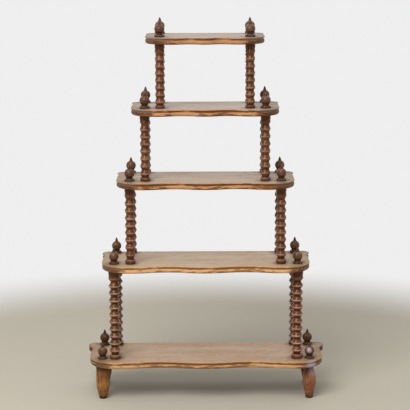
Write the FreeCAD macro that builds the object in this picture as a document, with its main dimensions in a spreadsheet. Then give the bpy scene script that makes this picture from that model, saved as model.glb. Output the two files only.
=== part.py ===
import FreeCAD, Part
import math
import os
import Sketcher

# Five-tier etagere (whatnot) in turned and shaped hardwood.
#
# Five serpentine boards get narrower towards the top. Each is carried by four bobbin-turned posts
# (the lowest by four turned feet) that stand further in at every tier. The spigot on top of each post
# passes up through the board and holds a turned finial, which stands just outside the next tier's post.
#
# Frame: +Z up, floor at z = 0, front towards -Y, left-right symmetry about x = 0, millimetres.
# The origin is on the floor under the middle of the boards.

os.makedirs("parts", exist_ok=True)
doc = FreeCAD.newDocument("Etagere")

# ---------------------------------------------------------------- driving dimensions

SIZES = {
    # Boards: plan
    "board_depth": 285,
    "end_overhang_1": 49,         # front column's axis to the straight part of the board's end
    "end_overhang_2": 46,
    "end_overhang_3": 49.5,
    "end_overhang_4": 50.5,
    "end_overhang_5": 52.5,
    "corner_radius": 98,          # big rounded front corner
    "wave_depth": 18,             # how far the front edge swings back between its crests
    "shoulder_radius": 80,        # convex turn from the straight end into the waist
    "waist_radius": 90,           # long concave sweep of the end
    "waist_depth": 3,             # how far it lies inside the straight part
    "ear_radius": 34,             # rounded ear at the back corner
    "ear_setback": 28,            # its centre, in front of the back edge
    "ear_reach_1": 16,            # how far the ear stands out past the straight part
    "ear_reach_2": 8,
    "ear_reach_3": 4,
    "ear_reach_4": 3,
    "ear_reach_5": 1,
    # Boards: edge moulding, from the top down: lip, cove, rounded nose
    "board_thickness": 24,
    "lip_height": 3.5,
    "lip_round": 1.4,
    "cove_height": 6,
    "cove_depth": 5,
    "cove_round": 3.5,
    "nose_inset": 1,
    "nose_top_round": 3,
    "nose_bottom_round": 8,
    # Columns: where the turnings stand
    "foot_spread": 381.5,         # from the middle to the axis of a front foot
    "step_in_1": 46.5,            # each tier's posts stand this much nearer the middle
    "step_in_2": 60.5,
    "step_in_3": 57.5,
    "step_in_4": 55.5,
    "row_spacing": 190,           # front row to rear row
    "rear_row_setback": 26,       # rear row to the back edge
    "rear_spread_0": 4,           # the feet of the rear row stand this much further from the middle
    "rear_spread_1": 0.5,         # and the rear posts of each tier
    "rear_spread_2": 3,
    "rear_spread_3": 3.5,
    "rear_spread_4": 4,
    # Clear heights under each board
    "foot_height": 127.5,
    "clear_height_1": 333,
    "clear_height_2": 281.5,
    "clear_height_3": 239.5,
    "clear_height_4": 230.5,
    # Spigot joints
    "spigot_radius": 8,
    "spigot_clearance": 0.1,      # all round, spigot to bore
    "spigot_end_gap": 1,          # beyond the spigot's end in a blind socket
    "board_socket_depth": 15,
    "finial_socket_depth": 13,
    # Posts: one set for each tier
    "bead_count_1": 10,
    "bead_count_2": 8,
    "bead_count_3": 7,
    "bead_count_4": 7,
    "bead_radius_1": 21.2,
    "bead_radius_2": 18.7,
    "bead_radius_3": 18,
    "bead_radius_4": 17.6,
    "valley_radius_1": 12.5,
    "valley_radius_2": 12.8,
    "valley_radius_3": 12.8,
    "valley_radius_4": 12.7,
    "base_height_1": 16.5,
    "base_height_2": 17.5,
    "base_height_3": 14,
    "base_height_4": 11.5,
    "neck_height_1": 3.5,
    "neck_height_2": 5,
    "neck_height_3": 1.8,
    "neck_height_4": 1.2,
    "cap_height_1": 43.5,
    "cap_height_2": 43.5,
    "cap_height_3": 36,
    "cap_height_4": 40,
    # Posts: common to all
    "base_round": 3.5,
    "cap_cone_height": 12,        # the cap swells from the valley to the beads' radius
    "cap_neck_depth": 1.6,        # and draws in this much towards its ring
    "cap_ring_height": 16,
    "cap_ring_round": 2,
    "valley_land": 1.5,           # flat floor of the groove between two beads
    "ridge_share": 0.45,          # where the ridge lies in a bead's height, from its foot
    "ridge_round": 3,
    # Finials
    "finial_ring_radius": 18.8,
    "finial_ring_height": 8.5,
    "finial_ring_round": 2.5,
    "finial_neck_radius": 12.2,
    "finial_neck_round": 3,
    "finial_ball_radius": 18.2,
    "finial_ball_centre": 28,
    "spike_height": 13.8,         # above the top of the ball
    "spike_base_radius": 6.6,
    "spike_shoulder_radius": 4.7,
    "spike_shoulder_drop": 8,     # below the tip
    "spike_shoulder_round": 14,
    "spike_tip_radius": 1.6,
    "spike_tip_height": 0.9,
    # Feet: the right-hand pair narrows towards the board, the left-hand pair stays nearly straight
    "toe_radius": 13.5,
    "toe_round": 2.5,
    "belly_radius_left": 25.6,
    "belly_radius_right": 27.3,
    "belly_height_left": 54,
    "belly_height_right": 66,
    "belly_round": 60,
    "foot_neck_radius_left": 24.9,
    "foot_neck_radius_right": 15.5,
    "foot_neck_start": 112,
    "foot_neck_round": 14,
    "lower_groove_height": 20,
    "upper_groove_height": 31,
    "foot_groove_radius": 1.5,
}

sheet = doc.addObject("Spreadsheet::Sheet", "Sizes")
for line, (alias, number) in enumerate(SIZES.items(), start=1):
    sheet.set(f"A{line}", alias)
    sheet.set(f"B{line}", str(number))
    sheet.setAlias(f"B{line}", alias)
doc.recompute()

TIERS = range(1, 5)
BOARDS = range(1, 6)
SIDES = {"left": "-1", "right": "1"}
ROWS = ("front", "rear")
FULL_TURN = 360
START, END, CENTRE = range(1, 4)          # a sketch element's own points
H_AXIS, V_AXIS = range(-1, -3, -1)        # a sketch's axes
ORIGIN = H_AXIS                           # and the point at the start of the first one

# ---------------------------------------------------------------- formulas shared by the pieces


def column_x(index, row="front"):
    """Distance of a column from the middle: 0 is the feet, 1 to 4 are the tiers of posts."""
    steps = "".join(f" - Sizes.step_in_{step}" for step in range(1, index + 1))
    spread = f" + Sizes.rear_spread_{index}" if row == "rear" else ""
    return f"(Sizes.foot_spread{steps}{spread})"


def board_top(board):
    """Height of a board's upper face above the floor."""
    clear = "".join(f" + Sizes.clear_height_{tier}" for tier in range(1, board))
    return f"(Sizes.foot_height + {board} * Sizes.board_thickness{clear})"


def board_half_width(board):
    return f"({column_x(board - 1)} + Sizes.end_overhang_{board})"


def swing(radii, shift):
    """How far apart along a board's end the centres of two touching arcs lie, the one bulging and the
    other hollow, where their outlines differ sideways by a shift."""
    return f"sqrt({shift} * (2 * {radii} - {shift}))"


BACK_Y = "(Sizes.board_depth / 2)"
REAR_ROW_Y = f"({BACK_Y} - Sizes.rear_row_setback)"
FRONT_ROW_Y = f"({REAR_ROW_Y} - Sizes.row_spacing)"
ROW_Y = {"front": FRONT_ROW_Y, "rear": REAR_ROW_Y}
FOOT_RINGS = {
    "left": ["Sizes.upper_groove_height"],
    "right": ["Sizes.lower_groove_height", "Sizes.upper_groove_height"],
}
BORE_RADIUS = "(Sizes.spigot_radius + Sizes.spigot_clearance)"
LOWER_SPIGOT = "(Sizes.board_socket_depth - Sizes.spigot_end_gap)"
UPPER_SPIGOT = "(Sizes.board_thickness + Sizes.finial_socket_depth - Sizes.spigot_end_gap)"
FINIAL_TOP = "(Sizes.finial_ball_centre + Sizes.finial_ball_radius + Sizes.spike_height)"


def amount(formula):
    """The present value of a formula of the sheet's sizes."""
    return float(sheet.evalExpression(formula))


# ---------------------------------------------------------------- sketch helpers


def new_body(name):
    body = doc.addObject("PartDesign::Body", name)
    body.Label = name
    return body


def set_place(body, x, y, z):
    for axis, formula in zip("xyz", (x, y, z)):
        body.setExpression(f"Placement.Base.{axis}", formula)


def attach(feature, body, plane, level):
    """Lay a feature on one of the body's own origin planes, raised by a formula."""
    origin_plane = next(item for item in body.Origin.OriginFeatures if item.Role == plane)
    feature.AttachmentSupport = [(origin_plane, "")]
    feature.MapMode = "FlatFace"
    feature.setExpression("AttachmentOffset.Base.z", level)


def new_sketch(body, name, plane, level="0"):
    sketch = body.newObject("Sketcher::SketchObject", name)
    attach(sketch, body, plane, level)
    return sketch


def tie(sketch, constraint, formula):
    """Add a dimension and bind it to its formula."""
    index = sketch.addConstraint(constraint)
    sketch.setExpression(f"Constraints[{index}]", formula)


def tie_point(sketch, element, point, x, y):
    """Fix a point of the sketch at the place that two formulas give."""
    for kind, axis, formula in (("DistanceX", V_AXIS, x), ("DistanceY", H_AXIS, y)):
        number = amount(formula)
        if number == 0:
            sketch.addConstraint(Sketcher.Constraint("PointOnObject", element, point, axis))
        elif number > 0:
            tie(sketch, Sketcher.Constraint(kind, ORIGIN, START, element, point, number), formula)
        else:
            mirrored = f"-({formula})"
            tie(sketch, Sketcher.Constraint(kind, element, point, ORIGIN, START, -number), mirrored)


def tie_radius(sketch, element, formula):
    tie(sketch, Sketcher.Constraint("Radius", element, amount(formula)), formula)


def add_line(sketch, start, end):
    return sketch.addGeometry(Part.LineSegment(FreeCAD.Vector(*start, 0), FreeCAD.Vector(*end, 0)))


def add_arc(sketch, centre, radius, first, last):
    """An arc that runs anticlockwise between two angles in radians."""
    circle = Part.Circle(FreeCAD.Vector(*centre, 0), FreeCAD.Vector(0, 0, 1), radius)
    return sketch.addGeometry(Part.ArcOfCircle(circle, first, last))


def add_circle(sketch, x, y, radius):
    """A full circle, its centre and radius given as formulas."""
    centre = FreeCAD.Vector(amount(x), amount(y), 0)
    circle = sketch.addGeometry(Part.Circle(centre, FreeCAD.Vector(0, 0, 1), amount(radius)))
    tie_point(sketch, circle, CENTRE, x, y)
    tie_radius(sketch, circle, radius)


def draw_profile(sketch, corners):
    """A closed outline through corners (x, y) or (x, y, rounding), all formulas.

    A plain corner is where two lines meet. At a rounded corner an arc touches both lines, and a
    construction point keeps the place where they would have met.
    """
    spots = [FreeCAD.Vector(amount(corner[0]), amount(corner[1]), 0) for corner in corners]
    count = len(corners)
    leave, reach, arcs = list(spots), list(spots), {}
    for index, corner in enumerate(corners):
        if len(corner) < 3:
            continue
        radius = amount(corner[2])
        here = spots[index]
        back = (spots[index - 1] - here).normalize()
        ahead = (spots[(index + 1) % count] - here).normalize()
        half = back.getAngle(ahead) / 2
        reach[index] = here + back * (radius / math.tan(half))
        leave[index] = here + ahead * (radius / math.tan(half))
        middle = here + (back + ahead).normalize() * (radius / math.sin(half))
        spans = [math.atan2(spot.y - middle.y, spot.x - middle.x) for spot in (reach[index], leave[index])]
        turn = (spans[1] - spans[0]) % (2 * math.pi)
        arcs[index] = (middle, radius, spans if turn < math.pi else spans[::-1], turn < math.pi)
    lines = [
        add_line(sketch, leave[index][:2], reach[(index + 1) % count][:2])
        for index in range(count)
    ]
    for index, corner in enumerate(corners):
        before, after = lines[index - 1], lines[index]
        if index not in arcs:
            sketch.addConstraint(Sketcher.Constraint("Coincident", before, END, after, START))
            tie_point(sketch, after, START, corner[0], corner[1])
            continue
        middle, radius, spans, forward = arcs[index]
        last = spans[1] if spans[1] > spans[0] else spans[1] + 2 * math.pi
        arc = add_arc(sketch, middle[:2], radius, spans[0], last)
        entry, exit_point = (START, END) if forward else (END, START)
        sketch.addConstraint(Sketcher.Constraint("Tangent", before, END, arc, entry))
        sketch.addConstraint(Sketcher.Constraint("Tangent", arc, exit_point, after, START))
        tie_radius(sketch, arc, corner[2])
        vertex = sketch.addGeometry(Part.Point(spots[index]), True)
        tie_point(sketch, vertex, START, corner[0], corner[1])
        sketch.addConstraint(Sketcher.Constraint("PointOnObject", vertex, START, before))
        sketch.addConstraint(Sketcher.Constraint("PointOnObject", vertex, START, after))


def bore(body, name, spots, level, depth, upwards=False):
    """Round bores for spigots, cut from a level down, or up into the piece."""
    sketch = new_sketch(body, f"{name}_centres", "XY_Plane", level)
    for x, y in spots:
        add_circle(sketch, x, y, BORE_RADIUS)
    pocket = body.newObject("PartDesign::Pocket", name)
    pocket.Profile = sketch
    pocket.Reversed = upwards
    pocket.setExpression("Length", depth)
    body.Tip = pocket


# ---------------------------------------------------------------- turned pieces


def turn(body, name, corners):
    """Turn a closed profile, given as radius and height, about the body's upright axis."""
    sketch = new_sketch(body, f"{name}_profile", "XZ_Plane")
    draw_profile(sketch, corners)
    turned = body.newObject("PartDesign::Revolution", name)
    turned.Profile = sketch
    turned.ReferenceAxis = (sketch, ["V_Axis"])
    turned.Angle = FULL_TURN
    return turned


def make_post(name, tier):
    """A bobbin post: spigots, base ring and tall cap on a core, with a row of double-cone beads."""
    body = new_body(name)
    clear = f"Sizes.clear_height_{tier}"
    bead_radius = f"Sizes.bead_radius_{tier}"
    valley = f"Sizes.valley_radius_{tier}"
    base_top = f"Sizes.base_height_{tier}"
    cap_bottom = f"({clear} - Sizes.cap_height_{tier})"
    cap_ring_bottom = f"({clear} - Sizes.cap_ring_height)"
    cap_neck = f"({bead_radius} - Sizes.cap_neck_depth)"
    turn(body, f"{name}_core", [
        ("0", f"-{LOWER_SPIGOT}"),
        ("Sizes.spigot_radius", f"-{LOWER_SPIGOT}"),
        ("Sizes.spigot_radius", "0"),
        (bead_radius, "0"),
        (bead_radius, base_top, "Sizes.base_round"),
        (valley, base_top),
        (valley, cap_bottom),
        (bead_radius, f"({cap_bottom} + Sizes.cap_cone_height)", "Sizes.ridge_round"),
        (cap_neck, cap_ring_bottom),
        (bead_radius, cap_ring_bottom, "Sizes.cap_ring_round"),
        (bead_radius, clear),
        ("Sizes.spigot_radius", clear),
        ("Sizes.spigot_radius", f"({clear} + {UPPER_SPIGOT})"),
        ("0", f"({clear} + {UPPER_SPIGOT})"),
    ])

    row_bottom = f"({base_top} + Sizes.neck_height_{tier})"
    pitch = f"(({cap_bottom} - {row_bottom}) / Sizes.bead_count_{tier})"
    half_land = "Sizes.valley_land / 2"
    inner = f"({valley} - Sizes.valley_land)"
    bead = turn(body, f"{name}_bead", [
        (inner, f"({row_bottom} + {half_land})"),
        (valley, f"({row_bottom} + {half_land})"),
        (bead_radius, f"({row_bottom} + Sizes.ridge_share * {pitch})", "Sizes.ridge_round"),
        (valley, f"({row_bottom} + {pitch} - {half_land})"),
        (inner, f"({row_bottom} + {pitch} - {half_land})"),
    ])
    row = body.newObject("PartDesign::LinearPattern", f"{name}_bead_row")
    row.Originals = [bead]
    row.Direction = (bead.Profile[0], ["V_Axis"])
    row.setExpression("Length", f"{pitch} * (Sizes.bead_count_{tier} - 1)")
    row.setExpression("Occurrences", f"Sizes.bead_count_{tier}")
    body.Tip = row
    return body


def make_finial(name):
    """A finial: ring, short neck, ball and pointed spike, with a socket bored up into its base."""
    body = new_body(name)
    turn(body, f"{name}_stem", [
        ("0", "0"),
        ("Sizes.finial_ring_radius", "0", "Sizes.finial_ring_round"),
        ("Sizes.finial_ring_radius", "Sizes.finial_ring_height", "Sizes.finial_ring_round"),
        ("Sizes.finial_neck_radius", "Sizes.finial_ring_height", "Sizes.finial_neck_round"),
        ("Sizes.finial_neck_radius", "Sizes.finial_ball_centre"),
        ("Sizes.spike_base_radius", "Sizes.finial_ball_centre"),
        ("Sizes.spike_base_radius", "(Sizes.finial_ball_centre + Sizes.finial_neck_radius)"),
        ("Sizes.spike_shoulder_radius", f"({FINIAL_TOP} - Sizes.spike_shoulder_drop)",
         "Sizes.spike_shoulder_round"),
        ("Sizes.spike_tip_radius", f"({FINIAL_TOP} - Sizes.spike_tip_height)"),
        ("0", FINIAL_TOP),
    ])
    ball = body.newObject("PartDesign::AdditiveSphere", f"{name}_ball")
    attach(ball, body, "XY_Plane", "Sizes.finial_ball_centre")
    ball.setExpression("Radius", "Sizes.finial_ball_radius")
    bore(body, f"{name}_socket", [("0", "0")], "0", "Sizes.finial_socket_depth", upwards=True)
    return body


def make_foot(name, side):
    """A turned foot: rounded toe, swelling belly with cut rings, and a spigot on top."""
    body = new_body(name)
    belly_radius = f"Sizes.belly_radius_{side}"
    belly_height = f"Sizes.belly_height_{side}"
    neck_radius = f"Sizes.foot_neck_radius_{side}"
    turn(body, f"{name}_block", [
        ("0", "0"),
        ("Sizes.toe_radius", "0", "Sizes.toe_round"),
        (belly_radius, belly_height, "Sizes.belly_round"),
        (neck_radius, "Sizes.foot_neck_start", "Sizes.foot_neck_round"),
        (neck_radius, "Sizes.foot_height"),
        ("Sizes.spigot_radius", "Sizes.foot_height"),
        ("Sizes.spigot_radius", f"(Sizes.foot_height + {UPPER_SPIGOT})"),
        ("0", f"(Sizes.foot_height + {UPPER_SPIGOT})"),
    ])
    rings = new_sketch(body, f"{name}_ring_cuts", "XZ_Plane")
    for height in FOOT_RINGS[side]:
        taper = f"({belly_radius} - Sizes.toe_radius) * {height} / {belly_height}"
        add_circle(rings, f"(Sizes.toe_radius + {taper})", height, "Sizes.foot_groove_radius")
    groove = body.newObject("PartDesign::Groove", f"{name}_rings")
    groove.Profile = rings
    groove.ReferenceAxis = (rings, ["V_Axis"])
    groove.Angle = FULL_TURN
    body.Tip = groove
    return body


# ---------------------------------------------------------------- boards


def draw_board(sketch, half_width, ear_reach, inset):
    """The board's plan, drawn inwards of its true outline by an inset; the back edge stays put.

    From the middle of the front edge each half runs: crest, hollow and crest of one even wave, the
    big corner, the straight end, its shoulder, the concave waist and the ear at the back corner.
    """
    front = f"-{BACK_Y}"
    half_wave = f"(({half_width} - Sizes.corner_radius) / 2)"
    wave_radius = f"(({half_wave}^2 + Sizes.wave_depth^2) / (4 * Sizes.wave_depth))"
    crest_y = f"({front} + {wave_radius})"
    hollow_y = f"({front} + Sizes.wave_depth - {wave_radius})"
    corner_x = f"({half_width} - Sizes.corner_radius)"
    corner_y = f"({front} + Sizes.corner_radius)"
    ear_x = f"({half_width} + {ear_reach} - Sizes.ear_radius)"
    ear_y = f"({BACK_Y} - Sizes.ear_setback)"
    to_waist = swing("(Sizes.ear_radius + Sizes.waist_radius)", f"(Sizes.waist_depth + {ear_reach})")
    past_waist = swing("(Sizes.shoulder_radius + Sizes.waist_radius)", "Sizes.waist_depth")
    shoulder_x = f"({half_width} - Sizes.shoulder_radius)"
    shoulder_y = f"({ear_y} - {to_waist} - {past_waist})"

    step = amount(inset)
    wave_turn = math.asin(amount(half_wave) / (2 * amount(wave_radius)))
    shoulder = FreeCAD.Vector(amount(shoulder_x), amount(shoulder_y), 0)
    ear = FreeCAD.Vector(amount(ear_x), amount(ear_y), 0)
    to_shoulder = amount("Sizes.shoulder_radius + Sizes.waist_radius")
    to_ear = amount("Sizes.ear_radius + Sizes.waist_radius")
    apart = (ear - shoulder).Length
    along = (to_shoulder**2 - to_ear**2 + apart**2) / (2 * apart)
    ahead = (ear - shoulder).normalize()
    outward = FreeCAD.Vector(ahead.y, -ahead.x, 0)
    waist = shoulder + ahead * along + outward * math.sqrt(to_shoulder**2 - along**2)
    shoulder_turn = math.atan2(waist.y - shoulder.y, waist.x - shoulder.x)
    ear_turn = math.atan2(waist.y - ear.y, waist.x - ear.x)
    ear_end = math.asin(amount("Sizes.ear_setback") / (amount("Sizes.ear_radius") - step))

    quarter = math.pi / 2
    crest_radius = amount(wave_radius) - step
    hollow_radius = amount(wave_radius) + step
    middle = add_arc(sketch, (0, amount(crest_y)), crest_radius, -quarter - wave_turn, -quarter + wave_turn)
    tie_point(sketch, middle, CENTRE, "0", crest_y)
    tie_radius(sketch, middle, f"({wave_radius} - {inset})")

    ear_ends = []
    for side in (1, -1):
        right = side > 0

        def arc(centre, radius, first, last):
            spans = (first, last) if right else (math.pi - last, math.pi - first)
            return add_arc(sketch, (side * centre[0], centre[1]), radius, *spans)

        bulging = (START, END) if right else (END, START)
        hollowed = bulging[::-1]
        half, full = amount(half_wave), amount(corner_x)
        hollow = arc((half, amount(hollow_y)), hollow_radius, quarter - wave_turn, quarter + wave_turn)
        crest = arc((full, amount(crest_y)), crest_radius, -quarter - wave_turn, -quarter)
        corner = arc((full, amount(corner_y)), amount("Sizes.corner_radius") - step, -quarter, 0)
        end_x = side * (amount(half_width) - step)
        flank = add_line(sketch, (end_x, amount(corner_y)), (end_x, shoulder.y))
        bend = arc(shoulder[:2], amount("Sizes.shoulder_radius") - step, 0, shoulder_turn)
        notch = arc(
            waist[:2], amount("Sizes.waist_radius") + step, ear_turn + math.pi, shoulder_turn + math.pi)
        lobe = arc(ear[:2], amount("Sizes.ear_radius") - step, ear_turn, ear_end)

        chain = [
            (middle, (None, END if right else START)),
            (hollow, hollowed), (crest, bulging), (corner, bulging), (flank, (START, END)),
            (bend, bulging), (notch, hollowed), (lobe, bulging),
        ]
        for (first, first_ends), (second, second_ends) in zip(chain, chain[1:]):
            joint = Sketcher.Constraint("Tangent", first, first_ends[1], second, second_ends[0])
            sketch.addConstraint(joint)
        tie_point(sketch, hollow, CENTRE, f"{side} * {half_wave}", hollow_y)
        tie_point(sketch, corner, CENTRE, f"{side} * {corner_x}", corner_y)
        tie_point(sketch, bend, CENTRE, f"{side} * {shoulder_x}", shoulder_y)
        tie_point(sketch, lobe, CENTRE, f"{side} * {ear_x}", ear_y)
        sketch.addConstraint(Sketcher.Constraint("Vertical", corner, CENTRE, corner, bulging[0]))
        for element, radius in ((corner, "corner"), (bend, "shoulder"), (lobe, "ear")):
            tie_radius(sketch, element, f"(Sizes.{radius}_radius - {inset})")
        tie_radius(sketch, notch, f"(Sizes.waist_radius + {inset})")
        ear_ends.append((lobe, bulging[1]))

    ends = [sketch.getPoint(*ear_end)[:2] for ear_end in ear_ends]
    back = add_line(sketch, *ends)
    for point, (lobe, lobe_end) in zip((START, END), ear_ends):
        sketch.addConstraint(Sketcher.Constraint("Coincident", back, point, lobe, lobe_end))
        depth = Sketcher.Constraint("DistanceY", ORIGIN, START, back, point, amount(BACK_Y))
        tie(sketch, depth, BACK_Y)


def pad(body, name, outline, inset, bottom, height):
    """One layer of a board: its plan, drawn in by an inset, raised and thickened."""
    sketch = new_sketch(body, f"{name}_plan", "XY_Plane", bottom)
    draw_board(sketch, *outline, inset)
    layer = body.newObject("PartDesign::Pad", name)
    layer.Profile = sketch
    layer.setExpression("Length", height)
    doc.recompute()
    return layer


def rim(layer, low, high, level):
    """The edges at a level that bound the upright walls which run from low to high."""
    near = 0.001
    spans = [amount(low), amount(high)]
    walls = [
        face for face in layer.Shape.Faces
        if abs(face.BoundBox.ZMin - spans[0]) < near and abs(face.BoundBox.ZMax - spans[1]) < near
    ]
    found = []
    for index, edge in enumerate(layer.Shape.Edges, start=1):
        box = edge.BoundBox
        if abs(box.ZMin - amount(level)) > near or abs(box.ZMax - amount(level)) > near:
            continue
        if box.YMin > amount(BACK_Y) - near:
            continue
        if any(edge.isSame(other) for wall in walls for other in wall.Edges):
            found.append(f"Edge{index}")
    return found


def round_rim(body, name, layer, edges, radius):
    rounded = body.newObject("PartDesign::Fillet", name)
    rounded.Base = (layer, edges)
    rounded.setExpression("Radius", radius)
    doc.recompute()
    return rounded


def column_spots(index):
    """Where the four columns of a tier stand on a board."""
    return [
        (f"{sign} * {column_x(index, row)}", ROW_Y[row]) for sign in SIDES.values() for row in ROWS
    ]


def make_board(number):
    """A serpentine board: moulded edge round the front and ends, and a bore for every spigot."""
    name = f"shelf_{number}"
    body = new_body(name)
    outline = (board_half_width(number), f"Sizes.ear_reach_{number}")
    top = "Sizes.board_thickness"
    lip_bottom = f"({top} - Sizes.lip_height)"
    nose_top = f"({lip_bottom} - Sizes.cove_height)"

    pad(body, f"{name}_core", outline, "Sizes.cove_depth", "0", top)
    lip = pad(body, f"{name}_lip", outline, "0", lip_bottom, "Sizes.lip_height")
    cove = round_rim(
        body, f"{name}_cove", lip, rim(lip, "0", lip_bottom, lip_bottom), "Sizes.cove_round")
    lip_edge = round_rim(
        body, f"{name}_lip_edge", cove, rim(cove, lip_bottom, top, top), "Sizes.lip_round")
    nose = pad(body, f"{name}_nose", outline, "Sizes.nose_inset", "0", nose_top)
    upper = round_rim(
        body, f"{name}_nose_top", nose, rim(nose, "0", nose_top, nose_top), "Sizes.nose_top_round")
    round_rim(
        body, f"{name}_nose_bottom", upper, rim(upper, "0", f"({nose_top} - Sizes.nose_top_round)", "0"),
        "Sizes.nose_bottom_round")

    bore(body, f"{name}_through_bores", column_spots(number - 1), top, f"(2 * {top})")
    if number in TIERS:
        bore(body, f"{name}_sockets", column_spots(number), top, "Sizes.board_socket_depth")
    return body


# ---------------------------------------------------------------- assembly

for board in BOARDS:
    shelf = make_board(board)
    set_place(shelf, "0", "0", f"({board_top(board)} - Sizes.board_thickness)")
    for row in ROWS:
        for side, sign in SIDES.items():
            finial = make_finial(f"finial_{board}_{row}_{side}")
            set_place(finial, f"{sign} * {column_x(board - 1, row)}", ROW_Y[row], board_top(board))

for row in ROWS:
    for side, sign in SIDES.items():
        foot = make_foot(f"foot_{row}_{side}", side)
        set_place(foot, f"{sign} * {column_x(0, row)}", ROW_Y[row], "0")
        for tier in TIERS:
            post = make_post(f"post_{tier}_{row}_{side}", tier)
            set_place(post, f"{sign} * {column_x(tier, row)}", ROW_Y[row], board_top(tier))

doc.recompute()

# ---------------------------------------------------------------- tests and files

for item in doc.Objects:
    if {"Invalid", "Error"} & set(item.State):
        raise RuntimeError(f"{item.Label} did not rebuild: {item.State}")

pieces = [item for item in doc.Objects if item.TypeId == "PartDesign::Body"]
for piece in pieces:
    shape = piece.Shape
    if shape.isNull() or not shape.isValid() or len(shape.Solids) != 1:
        raise RuntimeError(f"{piece.Label} is not one valid solid")

for piece in pieces:
    piece.Shape.exportStep(f"parts/{piece.Label}.step")
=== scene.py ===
import math

import bpy
import numpy as np
from mathutils import Matrix, Vector


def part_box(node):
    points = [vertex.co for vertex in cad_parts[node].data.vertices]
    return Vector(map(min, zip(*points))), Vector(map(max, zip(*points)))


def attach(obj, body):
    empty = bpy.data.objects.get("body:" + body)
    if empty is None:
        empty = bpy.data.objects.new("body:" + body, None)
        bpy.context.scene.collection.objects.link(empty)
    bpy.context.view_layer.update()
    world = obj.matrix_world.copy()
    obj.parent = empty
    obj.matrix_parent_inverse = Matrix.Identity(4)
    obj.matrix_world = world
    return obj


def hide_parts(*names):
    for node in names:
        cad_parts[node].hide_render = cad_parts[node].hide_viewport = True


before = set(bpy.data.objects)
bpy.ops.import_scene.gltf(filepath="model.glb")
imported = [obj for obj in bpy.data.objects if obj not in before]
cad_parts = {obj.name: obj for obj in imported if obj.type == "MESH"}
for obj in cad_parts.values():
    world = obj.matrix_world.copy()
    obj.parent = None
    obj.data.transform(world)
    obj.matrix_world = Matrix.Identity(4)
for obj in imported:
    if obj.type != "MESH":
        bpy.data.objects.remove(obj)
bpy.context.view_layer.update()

# A five-tier etagere in turned and shaped hardwood. Each board and turning gets a finished surface: the
# boards' edges a little worn, the turnings with the small unevenness of hand work. Pieces stand in
# metres, +Z up, floor at z = 0, front towards -Y. Outlines and their sizes are in millimetres.

MM = 0.001
SIDES = ("left", "right")
ROWS = ("front", "rear")
PLACES = [(row, side) for row in ROWS for side in SIDES]
TIERS = (1, 2, 3, 4)
BOARDS = (1, 2, 3, 4, 5)

# Where a pale lilac sheen is painted on as a reflection: the middle and the reach of each spot, in metres.
SHEEN_SPOTS = (
    ((0.379, -0.092, 0.185), 0.0085),      # on the lower right front finial
    ((0.390, -0.128, 0.140), 0.018),       # on the board's corner in front of it
    ((0.400, -0.099, 0.107), 0.017),       # at the top of the foot below
)

# ---------------------------------------------------------------- meshes


def middle_of(node):
    """The middle of a node's box, in metres."""
    low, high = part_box(node)
    return (low + high) / 2


def mesh_piece(name, node, points, faces, values, material):
    """A finished piece from whole arrays: corner points, faces as one array for each number of sides,
    and values that the finish reads at each point."""
    mesh = bpy.data.meshes.new(name)
    mesh.vertices.add(len(points))
    mesh.vertices.foreach_set("co", np.asarray(points, np.float32).ravel())
    corners = np.concatenate([part.ravel() for part in faces]).astype(np.int32)
    sides = np.concatenate([np.full(len(part), part.shape[1]) for part in faces])
    starts = np.concatenate([[0], np.cumsum(sides)[:-1]]).astype(np.int32)
    mesh.loops.add(len(corners))
    mesh.loops.foreach_set("vertex_index", corners)
    mesh.polygons.add(len(sides))
    mesh.polygons.foreach_set("loop_start", starts)
    mesh.polygons.foreach_set("use_smooth", np.ones(len(sides), bool))
    mesh.update(calc_edges=True)
    for key, value in values.items():
        kind = "FLOAT_VECTOR" if value.ndim == 2 else "FLOAT"
        field = "vector" if value.ndim == 2 else "value"
        mesh.attributes.new(key, kind, "POINT").data.foreach_set(field, value.astype(np.float32).ravel())
    mesh.materials.append(material)
    piece = bpy.data.objects.new(name, mesh)
    bpy.context.scene.collection.objects.link(piece)
    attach(piece, "root")
    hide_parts(node)


def round_grid(rows, around):
    """The numbers of a grid's points, row by row, and of the point beside each, round to the first."""
    number = np.arange(rows * around).reshape(rows, around)
    return number, np.roll(number, -1, 1)


def distance_along(line):
    """How far each point of a line lies from its start, measured along the line."""
    steps = np.linalg.norm(np.diff(line, axis=0), axis=1)
    return np.concatenate([[0], np.cumsum(steps)])


def smoothed(values, places, reach):
    """The mean of values round each place, weighted by a bell of that reach."""
    weights = np.exp(-0.5 * ((places[:, None] - places[None]) / reach) ** 2)
    return (weights * values).sum(1) / weights.sum(1)


def soft_line(places, values, wanted, reach=3.5, count=400):
    """A soft line through marks: straight between them, then averaged over a few millimetres."""
    fine = np.linspace(places[0], places[-1], count)
    line = np.interp(fine, places, values)
    return np.interp(wanted, fine, smoothed(line, fine, reach))


def uneven(along, rng, pitch=12):
    """Small uneven hand work along an outline: a value from 0 to 1 that changes over each pitch."""
    marks = np.arange(0, along[-1] + pitch, pitch)
    return np.interp(along, marks, rng.uniform(0, 1, len(marks)))


def painted_sheen(points):
    """How much painted sheen lies on each point: a soft bell round the middle of the nearest spot."""
    sheen = np.zeros(len(points))
    for middle, reach in SHEEN_SPOTS:
        away = np.linalg.norm(points - middle, axis=1)
        sheen = np.maximum(sheen, np.exp(-0.5 * (away / reach) ** 2))
    return sheen


# ---------------------------------------------------------------- finishes


def colour(code):
    """An sRGB hex colour as the linear values that a shader takes."""
    parts = np.array([int(code[place:place + 2], 16) for place in (1, 3, 5)]) / 255
    linear = np.where(parts <= 0.04045, parts / 12.92, ((parts + 0.055) / 1.055) ** 2.4)
    return (*linear, 1)


def marks_of(size):
    """The pattern scale at which a mark has this size, or these sizes along x, y and z, in millimetres."""
    return 1 / (np.array(size) * MM)


def new_finish(name):
    """A material without nodes, and its node tree."""
    material = bpy.data.materials.new(name)
    material.use_nodes = True
    material.node_tree.nodes.clear()
    return material, material.node_tree


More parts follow.
